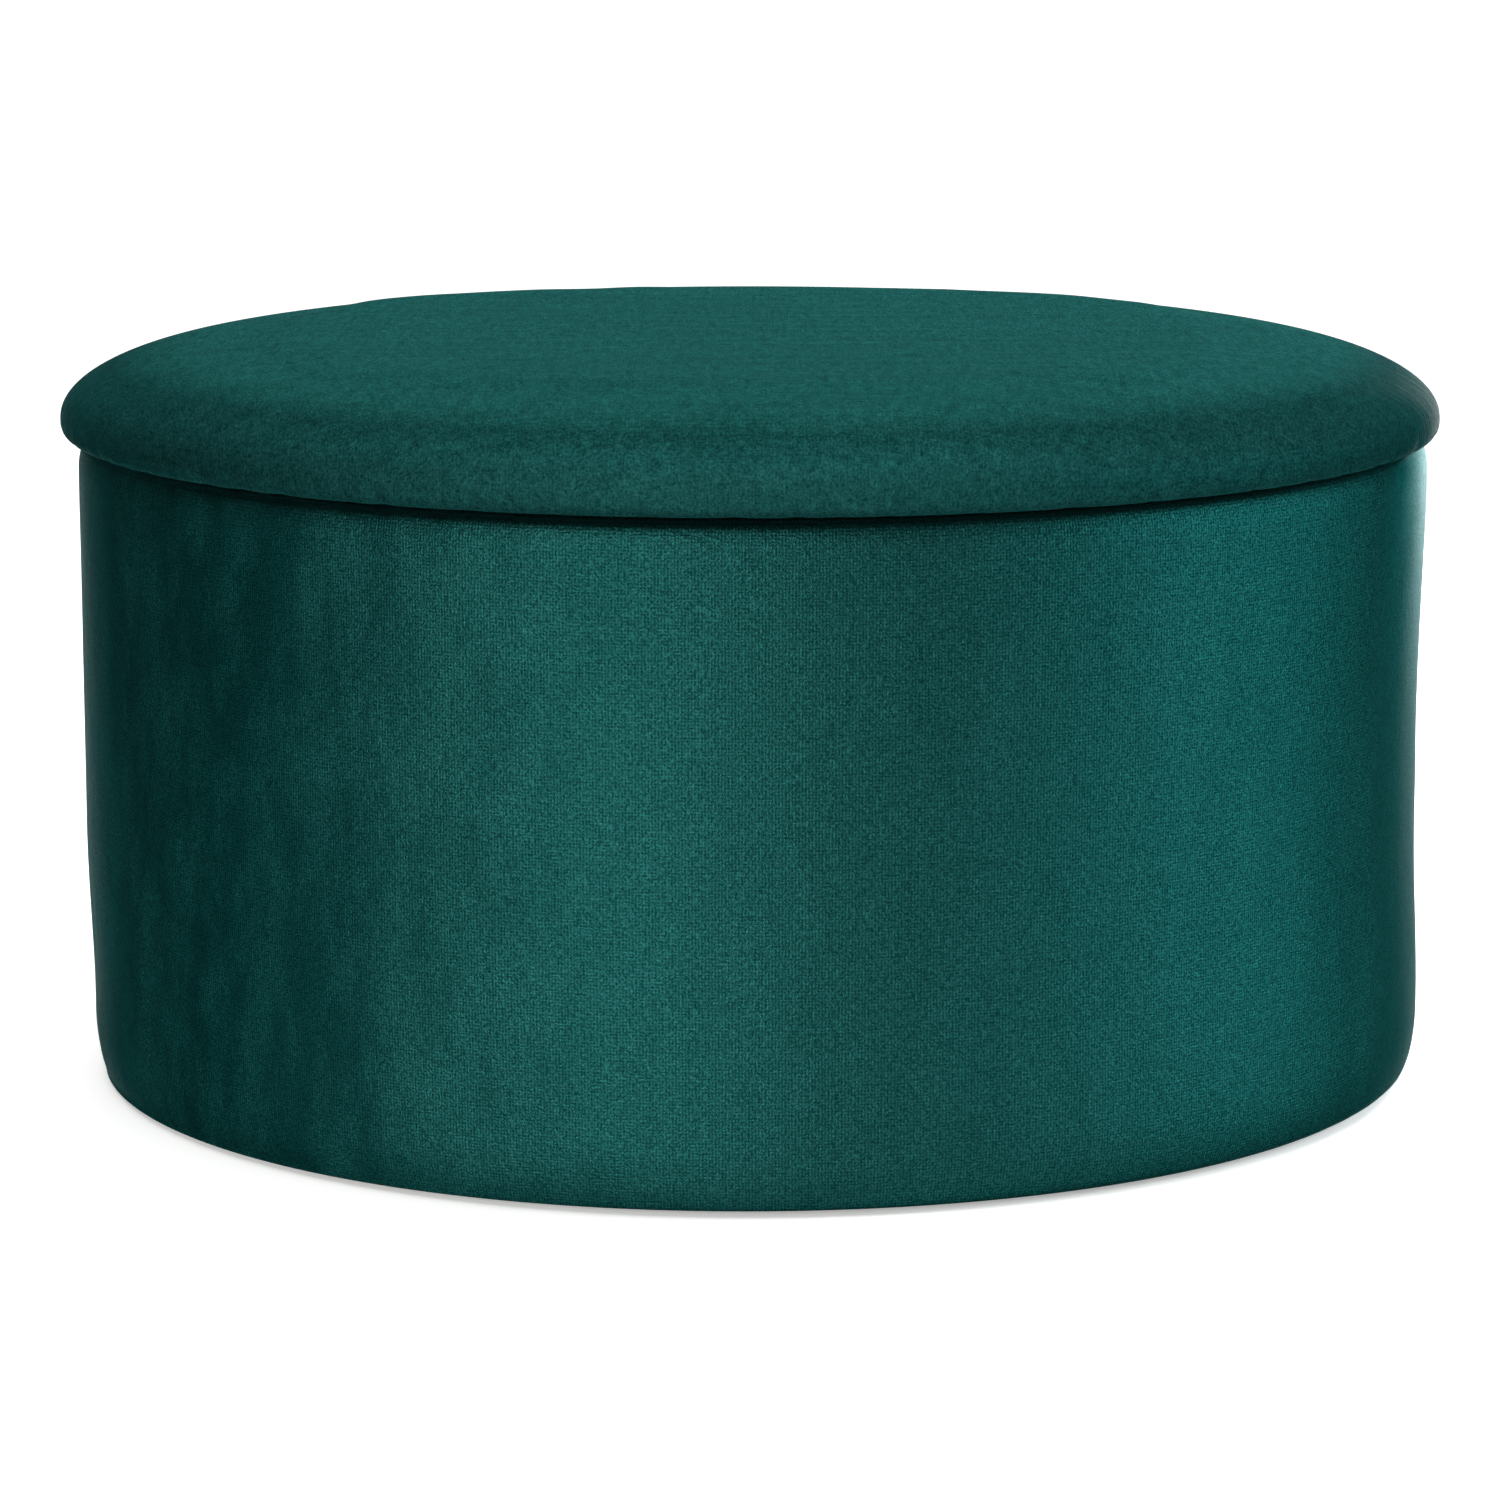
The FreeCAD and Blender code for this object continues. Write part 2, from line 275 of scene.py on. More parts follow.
def ground_weave(m, across, along):
    """Ribs and courses of the weave under the pile, -1 to 1."""
    rib = m.math("SINE", m.math("MULTIPLY", across, 2 * math.pi / RIB))
    course = m.math("SINE", m.math("MULTIPLY", along, 2 * math.pi / RIB))
    return m.math("ADD", m.math("MULTIPLY", rib, 0.6), m.math("MULTIPLY", course, 0.4))


def pile_lie(m, nap, streaks):
    """Which way the pile lies, 0 to 1: soft patches of nap, and long streaks left by a hand."""
    long_streaks = m.stretch(streaks, 0.3, 0.7)
    return m.math("ADD", m.math("MULTIPLY", nap, 0.55), m.math("MULTIPLY", long_streaks, 0.45))


def pile_colour(m, base, pile, weave, weave_shows, nap):
    """Dark between the tufts, with lighter tips where the pile is brushed up."""
    between = m.mix(0.7, base, VELVET_DARK)
    tips = m.stretch(m.math("ADD", pile, m.math("MULTIPLY", weave, weave_shows)), 0.38, 0.72)
    brushed_up = m.stretch(nap, 0.0, 1.0, 0.22, 0.78)
    return m.mix(tips, between, m.mix(brushed_up, base, VELVET_TIP))


def around_drum(m, x, y, radius):
    """Distance round the drum from the front, along a wall of that radius."""
    return m.math("MULTIPLY", m.math("ARCTAN2", x, m.math("MULTIPLY", y, -1.0)), radius)


PILE_SCALE = 760.0             # tufts per metre, about
CLOUD_SCALE = 30.0             # patches of nap per metre, about
PILE_BUMP = 0.55 * MM
MOTTLE_BUMP = 0.12 * MM
WEAVE_BUMP = 0.05 * MM
SHADE_BAND_X = -0.265              # painted shade: a broad upright band on the left, darkened as the side the lights leave dim,
SHADE_BAND_FULL = 0.02             # how far it is at its full strength to each side,
SHADE_BAND_WIDE = 0.075            # and how far it reaches


def drum_velvet(name):
    """Velvet taken round the drum: cloudy on the left, where it has been brushed, and even elsewhere; painted
    shade darkens an upright band on the left and its top under the lid, and painted light brightens its foot.
    """
    m = velvet(name, gloss=0.8, edge_tint=(0.05, 0.18, 0.18, 1.0),
               sheen=0.021, sheen_tint=(0.14, 0.90, 0.90, 1.0))
    p = m.place()
    x, y, z = m.node("SeparateXYZ", {0: p}).outputs
    weave = ground_weave(m, around_drum(m, x, y, DRUM_R), z)
    pile = m.noise(p, PILE_SCALE, detail=2.0, roughness=0.8)
    mottle = m.stretch(m.noise(p, 130.0, detail=3.0, roughness=0.65), 0.3, 0.7)
    clouds = m.noise(m.scaled(p, 1.0, 1.0, 0.45), CLOUD_SCALE, detail=5.0, roughness=0.65)
    clouds = m.stretch(clouds, 0.32, 0.68)
    on_left = m.stretch(x, -0.02, -0.22)
    nap = m.mix_value(on_left, m.stretch(clouds, 0.0, 1.0, 0.42, 0.58), clouds)
    # painted shade: the nap is lowered in an upright band on the left, which darkens the base colour and its
    # tips there
    from_shade_band = m.math("ABSOLUTE", m.math("SUBTRACT", x, SHADE_BAND_X))
    painted_shade_band = m.stretch(from_shade_band, SHADE_BAND_WIDE, SHADE_BAND_FULL)
    nap = m.math("SUBTRACT", nap, m.math("MULTIPLY", painted_shade_band, 0.3))
    upright_streaks = m.noise(m.scaled(p, 14.0, 14.0, 2.2), 1.0, detail=4.0, roughness=0.6)
    lie_and_painted_light = pile_lie(m, nap, upright_streaks)
    base = m.mix(m.math("MULTIPLY", mottle, 0.16), m.mix(lie_and_painted_light, VELVET_DARK, VELVET_LIGHT), VELVET_LIGHT)
    # painted shade and painted light: the colour is darker near the top, under the lid, and lighter towards
    # the foot
    painted_light_by_height = m.stretch(z, 0.34, 0.03, 0.88, 1.16)
    m.colour(m.mix(painted_light_by_height, BLACK, pile_colour(m, base, pile, weave, 0.09, nap)))
    m.roughness(m.stretch(nap, 0.0, 1.0, 0.31, 0.39))
    uneven_foam = m.noise(p, 26.0, detail=2.0)
    m.bump((uneven_foam, 0.7 * MM), (mottle, MOTTLE_BUMP), (weave, WEAVE_BUMP), (pile, PILE_BUMP))
    return m.material


def lid_velvet(name):
    """Velvet over the lid, with streaks across it: painted light makes it paler on the flat top, and painted
    shade darkens its upright sides and its left and right ends.
    """
    m = velvet(name, gloss=0.45, edge_tint=(*BLACK, 1.0),
               sheen=0.028, sheen_tint=(0.09, 0.92, 0.92, 1.0))
    p = m.place()
    x, y = m.node("SeparateXYZ", {0: p}).outputs[:2]
    facing = m.node("SeparateXYZ", {0: m.node("TexCoord").outputs["Normal"]}).outputs
    flat = m.stretch(facing[2], 0.93, 0.985)
    weave = ground_weave(m, x, y)
    pile = m.noise(m.scaled(p, 1.0, 0.3, 1.0), PILE_SCALE, detail=3.0, roughness=0.8)
    mottle = m.noise(m.scaled(p, 1.0, 0.25, 1.0), 190.0, detail=4.0, roughness=0.7)
    mottle = m.stretch(mottle, 0.3, 0.7)
    clouds = m.noise(m.scaled(p, 0.5, 1.0, 1.0), CLOUD_SCALE, detail=5.0, roughness=0.65)
    clouds = m.stretch(clouds, 0.32, 0.68)
    nap = m.stretch(clouds, 0.0, 1.0, 0.3, 0.7)
    streaks = m.noise(m.scaled(p, 5.0, 70.0, 20.0), 1.0, detail=5.0, roughness=0.7)
    # painted light: the flat top is made far paler than the rounded edge and sides
    lie_and_painted_light = m.math("MULTIPLY", pile_lie(m, nap, streaks), m.stretch(flat, 0.0, 1.0, 0.6, 4.6))
    lie_and_painted_light = m.math("ADD", lie_and_painted_light, m.math("MULTIPLY", flat, 2.8))
    base = m.mix(m.math("MULTIPLY", mottle, 0.5), m.mix(lie_and_painted_light, VELVET_DARK, VELVET_LIGHT), VELVET_TIP)
    # painted shade: the left and right ends and the upright sides are darkened; the patches are the cloth's
    # own mottle
    painted_shade_at_ends = m.stretch(m.math("ABSOLUTE", facing[0]), 0.12, 0.85, 1.0, 0.55)
    painted_shade_on_sides = m.stretch(facing[2], 0.0, 0.75, 0.76, 1.25)
    patchy = m.stretch(mottle, 0.0, 1.0, -0.3, 0.3)
    patchy = m.math("MULTIPLY", patchy, m.stretch(flat, 0.0, 1.0, 0.24, 1.0))
    painted_shade_and_patches = m.math("MULTIPLY", painted_shade_at_ends, painted_shade_on_sides)
    painted_shade_and_patches = m.math("MULTIPLY", painted_shade_and_patches, m.math("ADD", patchy, 1.0))
    m.colour(m.mix(painted_shade_and_patches, BLACK, pile_colour(m, base, pile, weave, 0.025, nap)))
    m.roughness(m.stretch(nap, 0.0, 1.0, 0.35, 0.43))
    m.bump((streaks, 2.2 * MM), (mottle, MOTTLE_BUMP), (weave, WEAVE_BUMP), (pile, PILE_BUMP))
    return m.material


def foam(name):
    """Open cells, with a slow unevenness."""
    m = Recipe(name, Roughness=0.9, Specular_IOR_Level=0.2)
    p = m.place()
    cells = m.cells(p, 620.0)
    m.colour(m.mix(m.stretch(cells, 0.1, 0.7), (0.55, 0.46, 0.27), (0.83, 0.77, 0.58)))
    m.bump((m.noise(p, 60.0), 1.0 * MM), (cells, 1.0 * MM))
    return m.material


def wadding(name):
    """White fibres in loose wisps."""
    m = Recipe(name, Roughness=0.95, Sheen_Weight=0.3, Sheen_Roughness=0.5)
    p = m.place()
    wisps = m.noise(m.scaled(p, 1.0, 0.4, 1.0), 420.0, detail=5.0, roughness=0.75)
    m.colour(m.mix(wisps, (0.68, 0.68, 0.66), (0.92, 0.92, 0.90)))
    m.bump((m.noise(p, 40.0), 2.0 * MM), (wisps, 0.8 * MM))
    return m.material


def nonwoven(name, dark, light, wrapped=False):
    """Spunbond cloth, flat or wrapped round a wall: a felt of fine filaments with pressed dots."""
    m = Recipe(name, Roughness=0.8, Specular_IOR_Level=0.35, Sheen_Weight=0.15)
    p = m.place()
    parts = m.node("SeparateXYZ", {0: p}).outputs
    if wrapped:
        across, along = around_drum(m, parts[0], parts[1], LINING_R), parts[2]
    else:
        across, along = parts[0], parts[1]
    columns = m.math("SINE", m.math("MULTIPLY", across, 2 * math.pi / DOT))
    rows = m.math("SINE", m.math("MULTIPLY", along, 2 * math.pi / DOT))
    pressed = m.stretch(m.math("MULTIPLY", columns, rows), 0.35, 0.75)
    filaments = m.noise(m.scaled(p, 1.0, 3.0, 1.0), 700.0, detail=4.0, roughness=0.7)
    cloudy = m.noise(p, 55.0)
    felt = m.mix(m.stretch(filaments, 0.3, 0.7), dark, light)
    felt = m.mix(m.math("MULTIPLY", cloudy, 0.4), felt, light)
    m.colour(m.mix(m.math("MULTIPLY", pressed, 0.6), felt, dark))
    m.roughness(m.stretch(pressed, 0.0, 1.0, 0.85, 0.5))
    m.bump((cloudy, 0.4 * MM), (pressed, -0.15 * MM), (filaments, 0.12 * MM))
    return m.material


def upright_wood(name, dark, light):
    """Sawn timber, with its grain upright."""
    m = Recipe(name, Roughness=0.6, Specular_IOR_Level=0.4)
    long_grain = m.scaled(m.place(), 1.0, 1.0, 0.07)
    bent = m.noise(long_grain, 18.0, detail=2.0)
    figure = m.math("SINE", m.math("MULTIPLY", bent, 170.0))
    pores = m.noise(long_grain, 900.0, roughness=0.7)
    tone = m.mix(m.stretch(figure, -1.0, 1.0, 0.15, 0.85), dark, light)
    m.colour(m.mix(m.math("MULTIPLY", m.stretch(pores, 0.5, 0.7), 0.35), tone, dark))
    m.roughness(m.stretch(pores, 0.3, 0.7, 0.5, 0.72))
    m.bump((figure, 0.03 * MM), (pores, 0.12 * MM))
    return m.material


def plywood(name):
    """Birch faces, with the glued plies showing on the edge."""
    m = Recipe(name, Roughness=0.55, Specular_IOR_Level=0.4)
    p = m.place()
    long_grain = m.scaled(p, 1.0, 0.08, 1.0)
    figure = m.math("SINE", m.math("MULTIPLY", m.noise(long_grain, 14.0), 120.0))
    face = m.mix(m.stretch(figure, -1.0, 1.0, 0.2, 0.8), (0.47, 0.32, 0.17), (0.66, 0.50, 0.31))
    height = m.node("SeparateXYZ", {0: p}).outputs[2]
    plies = m.math("SINE", m.math("MULTIPLY", height, 2 * math.pi / PLY))
    edge = m.mix(m.stretch(plies, -0.3, 0.3), (0.24, 0.13, 0.06), (0.60, 0.44, 0.26))
    up = m.node("SeparateXYZ", {0: m.node("TexCoord").outputs["Normal"]}).outputs[2]
    on_edge = m.stretch(m.math("ABSOLUTE", up), 0.8, 0.4)
    fibres = m.noise(m.scaled(p, 1.0, 0.15, 1.0), 800.0, roughness=0.7)
    m.colour(m.mix(on_edge, face, edge))
    m.roughness(m.stretch(fibres, 0.3, 0.7, 0.45, 0.7))
    m.bump((plies, 0.05 * MM), (fibres, 0.08 * MM))
    return m.material


def hardboard(name):
    """Pressed fibres, smooth on the face, with darker clouds."""
    m = Recipe(name, Roughness=0.45, Specular_IOR_Level=0.45)
    p = m.place()
    fibres = m.noise(p, 650.0, detail=5.0, roughness=0.75)
    clouds = m.noise(p, 30.0)
    tone = m.mix(m.stretch(fibres, 0.35, 0.65), (0.13, 0.065, 0.03), (0.30, 0.17, 0.085))
    m.colour(m.mix(m.math("MULTIPLY", clouds, 0.4), tone, (0.22, 0.12, 0.06)))
    m.roughness(m.stretch(clouds, 0.3, 0.7, 0.38, 0.55))
    m.bump((fibres, 0.06 * MM))
    return m.material


def moulded_plastic(name):
    """Black polyethylene, a little scuffed."""
    m = Recipe(name, Roughness=0.5, Specular_IOR_Level=0.45)
    p = m.place()
    scuffs = m.noise(m.scaled(p, 1.0, 0.2, 1.0), 500.0, detail=4.0, roughness=0.7)
    m.colour(m.mix(m.stretch(scuffs, 0.5, 0.75), (0.018, 0.018, 0.019), (0.06, 0.06, 0.06)))
    m.roughness(m.stretch(scuffs, 0.3, 0.7, 0.4, 0.65))
    m.bump((m.noise(p, 1400.0, detail=2.0), 0.03 * MM))
    return m.material


def metal(name, dull, bright, roughness):
    """Plated steel, its plating bloomed in places."""
    m = Recipe(name, Metallic=1.0, Roughness=roughness)
    bloom = m.noise(m.place(), 900.0, detail=4.0, roughness=0.7)
    m.colour(m.mix(m.stretch(bloom, 0.3, 0.7), dull, bright))
    m.roughness(m.stretch(bloom, 0.3, 0.7, roughness - 0.08, roughness + 0.12))
    m.bump((bloom, 0.02 * MM))
    return m.material


def studio_floor(name):
    """A white floor that lights itself a little, so that it reads as white as the photograph's."""
    m = Recipe(name, Roughness=0.85, Specular_IOR_Level=0.1,
               Emission_Color=(1, 1, 1, 1), Emission_Strength=0.3)
    p = m.place()
    m.colour(m.mix(m.noise(p, 6.0), (0.95, 0.95, 0.95), (0.97, 0.97, 0.97)))
    m.bump((m.noise(p, 300.0, detail=2.0), 0.05 * MM))
    return m.material


DRUM_VELVET = drum_velvet("drum_velvet_cloth")
LID_VELVET = lid_velvet("lid_velvet_cloth")
LINING_DARK, LINING_LIGHT = (0.012, 0.012, 0.013), (0.045, 0.045, 0.047)
LINING_CLOTH = nonwoven("lining_cloth", LINING_DARK, LINING_LIGHT)
WALL_LINING_CLOTH = nonwoven("wall_lining_cloth", LINING_DARK, LINING_LIGHT, wrapped=True)
DUST_CLOTH = nonwoven("dust_cloth", (0.008, 0.008, 0.009), (0.032, 0.032, 0.034))
FOAM = foam("cream_foam")
WADDING = wadding("white_wadding")


# ---- drum: velvet and padding ----

VELVET_TURN = 440              # columns of vertices in a full turn of velvet,
FOAM_TURN = 240                # of foam,
LINING_TURN = 360              # and of lining
SWAY = 3.3 * MM                # how far the padding has settled towards the drum's right at the foot,
SWAY_FADES = (0.04, 0.15)      # and the heights between which that fades
FOOT_SAG = 1.7 * MM            # how far the rounded foot hangs below the hem,
FOOT_FADES = 0.06              # and where the foot ends
FULLER = 3.4 * MM              # how much further the padding stands out at the upper right,
FULLER_RISES = (0.20, 0.36)    # and the heights between which that sets in
RIM_SAG = 3.0 * MM             # how far the rim's foam has packed down where the lid is lifted by its edge,
WORN_AT = math.radians(240)    # which is at the front left
BROAD_WAVE = 0.9 * MM          # height of the wall's broad waves,
FINE_WAVE = 0.35 * MM          # of its finer ones,
FOOT_WAVE = 0.4 * MM           # of those where the cloth is drawn under the base,
RIM_WAVE = 0.5 * MM            # and of those along the rim's top
HEM_PLEATS = 92
HEM_PLEAT = 0.25 * MM          # height of the hem's pleats
SEAM_GROOVE = 1.5 * MM         # depth of the back seam's groove,
GROOVE_HALF = 1.1 * MM         # and half its width
SEAM_EDGE = 0.45 * MM          # how far the turned-in edges beside it stand out,
EDGE_HALF = 7.0 * MM           # and how far they reach
PUCKER_PITCH = 9 * MM
SEAM_COLUMNS = (0, 0.5, 1, 1.6, 2.4, 3.4, 7, 9, 12)   # vertices on each side of the seam, in mm


def drum_shape(angle, r, z):
    """The small unevenness of cloth pulled over foam by hand; the foam's glued face stays put."""
    wall = smooth(z, HEM_Z + 8 * MM, 0.09) * (1 - smooth(z, RIM_Z - 0.05, RIM_Z - 0.004))
    foot = 1 - smooth(z, HEM_Z + 5 * MM, FOOT_FADES)
    to_right = math.cos(angle)
    out = SWAY * to_right * (1 - smooth(z, *SWAY_FADES))
    out += BROAD_WAVE * wander(angle, z * 3.0, per_turn=2.2, seed=3.0) * wall
    out += FINE_WAVE * wander(angle, z * 9.0, per_turn=9.0, seed=8.0) * wall
    out += FOOT_WAVE * wander(angle, 0.0, per_turn=16.0, seed=6.0) * foot
    out += FULLER * max(0.0, to_right) ** 2 * smooth(z, *FULLER_RISES)
    z -= FOOT_SAG * (1 - 0.4 * to_right) * foot * smooth(r, PANEL_R - 4 * MM, PANEL_R + 2 * MM)
    r += out * smooth(r, PANEL_R + 0.5 * MM, PANEL_R + 5 * MM)
    rim = smooth(z, RIM_Z - 0.03, RIM_Z - 0.004)
    z -= RIM_WAVE * (0.5 + wander(angle, 0.0, per_turn=7.0, seed=2.0)) * rim
    worn = 0.5 + 0.5 * math.cos(angle - WORN_AT)
    z -= RIM_SAG * worn ** 2 * smooth(z, CAGE_TOP_Z + 0.5 * MM, RIM_Z)
    return r, z


def seam_depth(angle, z):
    """The back seam: a narrow groove between two turned-in edges, a little puckered."""
    off = (angle - SEAM) * DRUM_R
    groove = math.exp(-(off / GROOVE_HALF) ** 2)
    edge = math.exp(-(off / EDGE_HALF) ** 2) - groove
    pucker = 1 + 0.5 * math.sin(z * 2 * math.pi / PUCKER_PITCH)
    pucker += 0.4 * noise.noise(Vector((0, 0, z * 90)))
    return SEAM_EDGE * edge * pucker - SEAM_GROOVE * groove


def velvet_shape(angle, r, z):
    """The drum's unevenness with the back seam, and with pleats in the hem under the base."""
    depth = seam_depth(angle, z)
    new_r, new_z = drum_shape(angle, r, z)
    if r > PANEL_R:
        new_r += depth
    elif r < MOUTH_R + 1 * MM:
        new_r -= depth
    elif z < BASE_Z:
        new_z -= depth + HEM_PLEAT * math.sin(angle * HEM_PLEATS) * smooth(r, DRUM_R - 4 * MM, HEM_R)
    else:
        new_z += depth
    return new_r, new_z


def sleeve_outline():
    """The velvet's outer face, from its raw edge under the base, up, over the rim and down inside.

    Each of its three curves goes so far in, and so far up or down.
    """
    foot = (9.5 * MM, 35 * MM)
    shoulder = (8 * MM, 18 * MM)
    mouth = (6.5 * MM, 6.5 * MM)
    made = line((HEM_R, HEM_Z), (DRUM_R - foot[0], HEM_Z), 8)
    made += quarter((DRUM_R - foot[0], HEM_Z + foot[1]), foot, -90, 16)[:-1]
    made += line((DRUM_R, HEM_Z + foot[1]), (DRUM_R, RIM_Z - shoulder[1]), 76)
    made += quarter((DRUM_R - shoulder[0], RIM_Z - shoulder[1]), shoulder, 0, 10)[:-1]
    made += line((DRUM_R - shoulder[0], RIM_Z), (MOUTH_R + mouth[0], RIM_Z), 8)
    made += quarter((MOUTH_R + mouth[0], RIM_Z - mouth[1]), mouth, 90, 8)[:-1]
    made += line((MOUTH_R, RIM_Z - mouth[1]), (MOUTH_R, LINING_TOP_Z), 10) + [(MOUTH_R, LINING_TOP_Z)]
    return made


def make_drum_velvet():
    """The sleeve: as long as the girth and two seam allowances of 12 mm, and 485 mm from hem to edge."""
    face = sleeve_outline()
    back = shrunk(face, VELVET)
    angles = turn_angles(VELVET_TURN, [x * MM / DRUM_R for x in SEAM_COLUMNS])
    cloth = turned("drum_velvet", face + back[::-1], angles, DRUM_VELVET, "drum", velvet_shape)
    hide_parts("side_cover")


def make_wall_padding():
    """Foam sheet round the wall, following the velvet, glued to the outer hardboard.

    It keeps only the part of the velvet's outline that is beyond the hardboard and above the base's edge.
    """
    inside = shrunk(sleeve_outline(), VELVET + LAYER_GAP)
    glued_r = PANEL_R + 0.3 * MM
    face = [p for p in inside if p[0] > PANEL_R + 0.6 * MM and p[1] > BASE_Z + 3 * MM]
    back = [(glued_r, face[-1][1]), (glued_r, face[0][1])]
    pad = turned("wall_padding", face + back, turn_angles(FOAM_TURN), FOAM, "drum", drum_shape)
    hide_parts("wall_foam")


def make_rim_padding():
    """Foam strip over the cage's top edge."""
    inside = shrunk(sleeve_outline(), VELVET + LAYER_GAP)
    over = [p for p in inside if p[0] < PANEL_R and p[1] > CAGE_TOP_Z + 0.5 * MM]
    glued_z = CAGE_TOP_Z + 0.2 * MM
    under = [(LINING_R + 0.5 * MM, glued_z), (PANEL_R - 0.5 * MM, glued_z)]
    pad = turned("rim_padding", over + under, turn_angles(FOAM_TURN), FOAM, "drum", drum_shape)
    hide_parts("rim_foam")


# ---- drum: linings ----

LINING_LAP = 18 * MM           # how far the wall lining's two ends lap at the back
LAP_STEP = 0.5 * MM            # how far the lapped end stands proud
LAP_COLUMNS = (0, 0.5, 1, 18, 18.5, 19)               # vertices at both edges of the lap, in mm
LINING_WAVE = 0.7 * MM         # height of the linings' small waves


def lining_shape(angle, r, z):
    """Cloth glued to the wall: slight upright waves, and one lapped seam at the back."""
    on_face = r < LINING_R - 0.4 * MM
    if on_face:
        middle = smooth(z, BASE_TOP_Z, BASE_TOP_Z + 0.04)
        middle *= 1 - smooth(z, LINING_TOP_Z - 0.03, LINING_TOP_Z)
        r -= LINING_WAVE * max(0.0, wander(angle, z * 2.0, per_turn=14.0, seed=4.0)) * middle
        past_seam = (angle - SEAM) * LINING_R
        lap = smooth(past_seam, 0.0, 1 * MM) - smooth(past_seam, LINING_LAP, LINING_LAP + 1 * MM)
        r -= LAP_STEP * lap
    return r, z


def make_wall_lining():
    """From the base board up to the velvet inside the mouth."""
    face = line((LINING_R - 0.8 * MM, LINING_TOP_Z), (LINING_R - 0.8 * MM, BASE_TOP_Z), 40)
    back = [(LINING_R - 0.1 * MM, BASE_TOP_Z), (LINING_R - 0.1 * MM, LINING_TOP_Z)]
    angles = turn_angles(LINING_TURN, [x * MM / LINING_R for x in LAP_COLUMNS])
    cloth = turned("wall_lining_cloth", face + back, angles, WALL_LINING_CLOTH, "drum", lining_shape)
    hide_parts("wall_lining")


def disc_of_cloth(name, radius, z, thickness, material, waves, rings=40, turns=192):
    """A round of the drum's cloth lying flat, both faces, lifted by waves(angle, r)."""
    middle = waves(0.0, 0.0)
    verts = [(0, 0, z + middle), (0, 0, z - thickness + middle)]
    for i in range(rings):
        r = radius * (i + 1) / rings
        for j in range(turns):
            a = 2 * math.pi * j / turns
            lift = waves(a, r)
            verts.append((r * math.cos(a), r * math.sin(a), z + lift))
            verts.append((r * math.cos(a), r * math.sin(a), z - thickness + lift))
    faces = []

    def at(ring, turn, side):
        return 2 + (ring * turns + turn % turns) * 2 + side

    for j in range(turns):
        faces.append((0, at(0, j, 0), at(0, j + 1, 0)))
        faces.append((1, at(0, j + 1, 1), at(0, j, 1)))
        for i in range(rings - 1):
            faces.append((at(i, j, 0), at(i + 1, j, 0), at(i + 1, j + 1, 0), at(i, j + 1, 0)))
            faces.append((at(i, j, 1), at(i, j + 1, 1), at(i + 1, j + 1, 1), at(i + 1, j, 1)))
        edge = rings - 1
        faces.append((at(edge, j, 0), at(edge, j, 1), at(edge, j + 1, 1), at(edge, j + 1, 0)))
    return piece(name, verts, faces, material, "drum")


def make_floor_lining():
    """A loose round on the store's floor."""
    def waves(angle, r):
        x, y = r * math.cos(angle), r * math.sin(angle)
        return LINING_WAVE * max(0.0, noise.noise(Vector((x * 9, y * 9, 1.0))))

    radius = LINING_R - 1.1 * MM              # clear of the wall's lining
    cloth = disc_of_cloth("floor_lining_cloth", radius, FLOOR_Z + 0.8 * MM, NONWOVEN, LINING_CLOTH, waves)
    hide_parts("floor_lining")


def make_dust_cloth():
    """The cover under the base, sagging a little in the middle and drawn up at each staple."""
    radius = high("dust_cover").x
    z = high("dust_cover").z
    staples = 24
    sags = 1.6 * MM

    def waves(angle, r):
        middle = 1 - (r / radius) ** 2
        x, y = r * math.cos(angle), r * math.sin(angle)
        sag = -sags * middle + 0.5 * MM * noise.noise(Vector((x * 7, y * 7, 4.0))) * middle
        tight = smooth(r, radius - 0.03, radius)
        return min(-0.05 * MM, sag - 0.25 * MM * tight * (1 - math.cos(staples * angle)) / 2)

    cloth = disc_of_cloth("dust_cloth", radius, z, DUST_THICK, DUST_CLOTH, waves, rings=60, turns=288)
    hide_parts("dust_cover")


# ---- lid: cloth simulation ----

LID_SIDE = 80                  # squares along one side of the round's middle; the rim gets four times as many
PAD_INSET = 2.5 * MM           # the pad starts this much lower,
PILLOW = 3.6 * MM              # and no point of it may swell further than this
SLIDE = 1.5 * MM               # or shift sideways further than this
SIM_FRAMES = 20
EVENING = 30                   # times that the outward travel is averaged with its neighbours'
HELD_UP_TO = 20 * MM           # height over the board at which the cloth is free of the board's hard edge
LID_EDGE = (113 * MM, 44 * MM)  # how far in and down the soft upper edge is rounded,
LID_FOOT = (10 * MM, 8 * MM)   # and the lower one
FOAM_GAP = 0.1 * MM            # between the lid's foam and its wadding


def lid_outline(inset):
    """The lid's outer face, from the flat top outwards, down and under to the raw edge.

    The top lies inset lower than the CAD's.
    """
    top = LID_TOP_Z - inset
    edge = (LID_EDGE[0], LID_EDGE[1] - inset)
    made = quarter((LID_R - edge[0], top - edge[1]), edge, 0, 20)[::-1]
    made += line((LID_R, top - edge[1]), (LID_R, LID_SEAT_Z + LID_FOOT[1]), 2)[1:]
    made += quarter((LID_R - LID_FOOT[0], LID_SEAT_Z + LID_FOOT[1]), LID_FOOT, -90, 5)[::-1]
    made += line((LID_R - LID_FOOT[0], LID_SEAT_Z), (LID_HEM_R, LID_SEAT_Z), 8)[1:]
    made.append((LID_HEM_R, LID_SEAT_Z))
    return made


